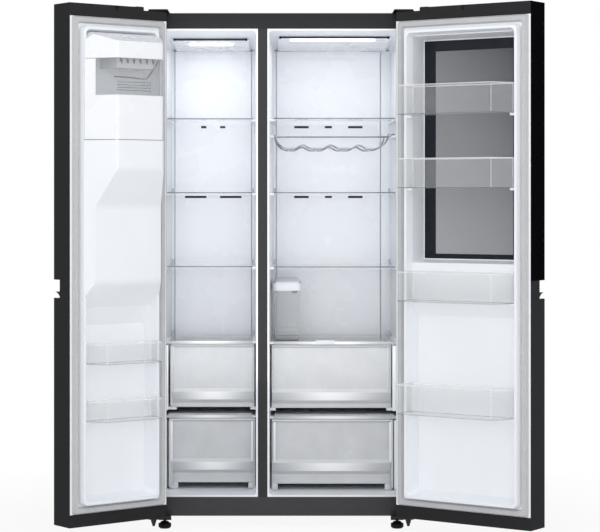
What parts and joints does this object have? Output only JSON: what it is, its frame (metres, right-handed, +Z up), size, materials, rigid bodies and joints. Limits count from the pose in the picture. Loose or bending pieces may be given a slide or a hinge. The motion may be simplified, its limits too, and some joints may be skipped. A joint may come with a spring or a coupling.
{
  "type": "side by side refrigerator",
  "caption": "Side by side refrigerator with two hinged doors standing open, glass shelves, pull-out drawers, door bins, an ice unit and a dispenser.",
  "frame": {"origin": "point on the floor under the middle of the cabinet front face", "axes": "+X to the right across the front, +Y from the front to the back, +Z up from the floor"},
  "size_m": [1.6296, 1.044, 1.79],
  "materials": {
    "case_dark_grey": "satin",
    "door_dark_grey": "satin",
    "door_gloss_black": "gloss",
    "galvanised_steel": "satin",
    "front_bar_grey": "satin",
    "liner_white": "satin",
    "panel_white": "satin",
    "foam": "matte",
    "lamp_diffuser": "satin",
    "shelf_glass": "polished",
    "trim_silver": "satin",
    "clear_plastic": "polished",
    "drawer_plastic": "satin",
    "rack_chrome": "polished",
    "cap_dark_plastic": "matte",
    "black_plastic": "matte",
    "hinge_steel": "satin",
    "compressor_black": "satin",
    "coil_aluminium": "satin",
    "gasket_grey": "matte",
    "handle_grey": "satin",
    "window_dark": "polished"
  },
  "bodies": {
    "cabinet": {"outer_case": "case_dark_grey", "rear_panel": "galvanised_steel", "base_pan": "galvanised_steel", "bottom_bar": "front_bar_grey", "mullion_bar": "front_bar_grey", "freezer_liner": "liner_white", "fridge_liner": "liner_white", "cabinet_foam": "foam", "freezer_duct_panel": "panel_white", "fridge_duct_panel": "panel_white", "lamp_panels": "lamp_diffuser", "freezer_shelves": "shelf_glass", "fridge_shelves": "shelf_glass", "shelf_trims": "trim_silver", "bottle_rack": "rack_chrome", "upper_hinges": "hinge_steel", "hinge_covers": "black_plastic", "lower_hinges": "hinge_steel", "compressor": "compressor_black", "condenser": "coil_aluminium", "evaporator": "coil_aluminium", "machine_cover": "galvanised_steel"},
    "freezer_door": {"freezer_door_skin": "door_dark_grey", "freezer_door_caps": "cap_dark_plastic", "freezer_door_foam": "foam", "freezer_door_liner": "liner_white", "freezer_door_gasket": "gasket_grey", "freezer_door_handle": "handle_grey", "ice_maker_cover": "liner_white", "ice_tray": "drawer_plastic", "dispenser_housing": "black_plastic"},
    "fridge_door": {"fridge_door_lower_skin": "door_dark_grey", "fridge_door_upper_skin": "door_gloss_black", "fridge_door_caps": "cap_dark_plastic", "fridge_door_foam": "foam", "fridge_door_liner": "liner_white", "fridge_door_gasket": "gasket_grey", "fridge_door_handle": "handle_grey", "window_pane": "window_dark"},
    "ice_bin": {"ice_bin": "liner_white", "ice_bin_window": "clear_plastic"},
    "dispenser_paddle": {"dispenser_paddle": "black_plastic"},
    "water_tank": {"water_tank": "clear_plastic", "water_tank_lid": "liner_white"},
    "freezer_drawer_upper": {"freezer_drawer_upper": "drawer_plastic"},
    "freezer_drawer_lower": {"freezer_drawer_lower": "drawer_plastic"},
    "fridge_drawer_upper": {"fridge_drawer_upper": "drawer_plastic"},
    "fridge_drawer_lower": {"fridge_drawer_lower": "drawer_plastic"},
    "humidity_slider": {"humidity_slider": "black_plastic"},
    "condenser_fan": {"condenser_fan": "black_plastic"},
    "evaporator_fan": {"evaporator_fan": "black_plastic"},
    "left_foot": {"left_foot": "black_plastic"},
    "right_foot": {"right_foot": "black_plastic"},
    "rear_rollers": {"rear_rollers": "black_plastic"},
    "freezer_door_bin_lower": {"freezer_door_bin_lower": "clear_plastic"},
    "freezer_door_bin_upper": {"freezer_door_bin_upper": "clear_plastic"},
    "fridge_door_bin_bottom": {"fridge_door_bin_bottom": "clear_plastic"},
    "fridge_door_bin_lower": {"fridge_door_bin_lower": "clear_plastic"},
    "fridge_door_bin_upper": {"fridge_door_bin_upper": "clear_plastic"},
    "fridge_door_bin_top": {"fridge_door_bin_top": "clear_plastic"}
  },
  "joints": [
    {"name": "freezer_door_swing", "type": "hinge", "parent": "cabinet", "child": "freezer_door", "pos_m": [-0.4365, -0.06, 0.9], "axis": [0, 0, -1], "range_deg": [-141.4, 8.6]},
    {"name": "fridge_door_swing", "type": "hinge", "parent": "cabinet", "child": "fridge_door", "pos_m": [0.4365, -0.06, 0.9], "axis": [0, 0, 1], "range_deg": [-145, 5]},
    {"name": "freezer_drawer_upper_slide", "type": "slide", "parent": "cabinet", "child": "freezer_drawer_upper", "axis": [0, -1, 0], "range_m": [0, 0.3]},
    {"name": "freezer_drawer_lower_slide", "type": "slide", "parent": "cabinet", "child": "freezer_drawer_lower", "axis": [0, -1, 0], "range_m": [0, 0.18]},
    {"name": "fridge_drawer_upper_slide", "type": "slide", "parent": "cabinet", "child": "fridge_drawer_upper", "axis": [0, -1, 0], "range_m": [0, 0.28]},
    {"name": "fridge_drawer_lower_slide", "type": "slide", "parent": "cabinet", "child": "fridge_drawer_lower", "axis": [0, -1, 0], "range_m": [0, 0.2]},
    {"name": "water_tank_slide", "type": "slide", "parent": "cabinet", "child": "water_tank", "axis": [0, -1, 0], "range_m": [0, 0.2]},
    {"name": "humidity_slide", "type": "slide", "parent": "cabinet", "child": "humidity_slider", "axis": [1, 0, 0], "range_m": [-0.02, 0.02]},
    {"name": "ice_bin_slide", "type": "slide", "parent": "freezer_door", "child": "ice_bin", "axis": [0.6239, -0.7815, 0], "range_m": [0, 0.15]},
    {"name": "paddle_push", "type": "hinge", "parent": "freezer_door", "child": "dispenser_paddle", "pos_m": [-0.55307, -0.19528, 1.15], "axis": [-0.7815, -0.6239, 0], "range_deg": [0, 9], "stiffness_Nm_per_rad": 0.8},
    {"name": "condenser_fan_spin", "type": "hinge", "parent": "cabinet", "child": "condenser_fan", "pos_m": [-0.07, 0.518, 0.1162], "axis": [1, 0, 0], "continuous": true},
    {"name": "evaporator_fan_spin", "type": "hinge", "parent": "cabinet", "child": "evaporator_fan", "pos_m": [-0.25175, 0.547, 0.86], "axis": [0, 1, 0], "continuous": true},
    {"name": "rear_rollers_roll", "type": "hinge", "parent": "cabinet", "child": "rear_rollers", "pos_m": [0, 0.562, 0.018], "axis": [1, 0, 0], "continuous": true},
    {"name": "left_foot_turn", "type": "hinge", "parent": "cabinet", "child": "left_foot", "pos_m": [-0.401, -0.012, 0], "axis": [0, 0, 1], "continuous": true},
    {"name": "right_foot_turn", "type": "hinge", "parent": "cabinet", "child": "right_foot", "pos_m": [0.401, -0.012, 0], "axis": [0, 0, 1], "continuous": true},
    {"name": "freezer_bin_lower_lift", "type": "slide", "parent": "freezer_door", "child": "freezer_door_bin_lower", "axis": [0, 0, 1], "range_m": [0, 0.06]},
    {"name": "freezer_bin_upper_lift", "type": "slide", "parent": "freezer_door", "child": "freezer_door_bin_upper", "axis": [0, 0, 1], "range_m": [0, 0.06]},
    {"name": "fridge_bin_bottom_lift", "type": "slide", "parent": "fridge_door", "child": "fridge_door_bin_bottom", "axis": [0, 0, 1], "range_m": [0, 0.06]},
    {"name": "fridge_bin_lower_lift", "type": "slide", "parent": "fridge_door", "child": "fridge_door_bin_lower", "axis": [0, 0, 1], "range_m": [0, 0.06]},
    {"name": "fridge_bin_upper_lift", "type": "slide", "parent": "fridge_door", "child": "fridge_door_bin_upper", "axis": [0, 0, 1], "range_m": [0, 0.06]},
    {"name": "fridge_bin_top_lift", "type": "slide", "parent": "fridge_door", "child": "fridge_door_bin_top", "axis": [0, 0, 1], "range_m": [0, 0.06]}
  ]
}
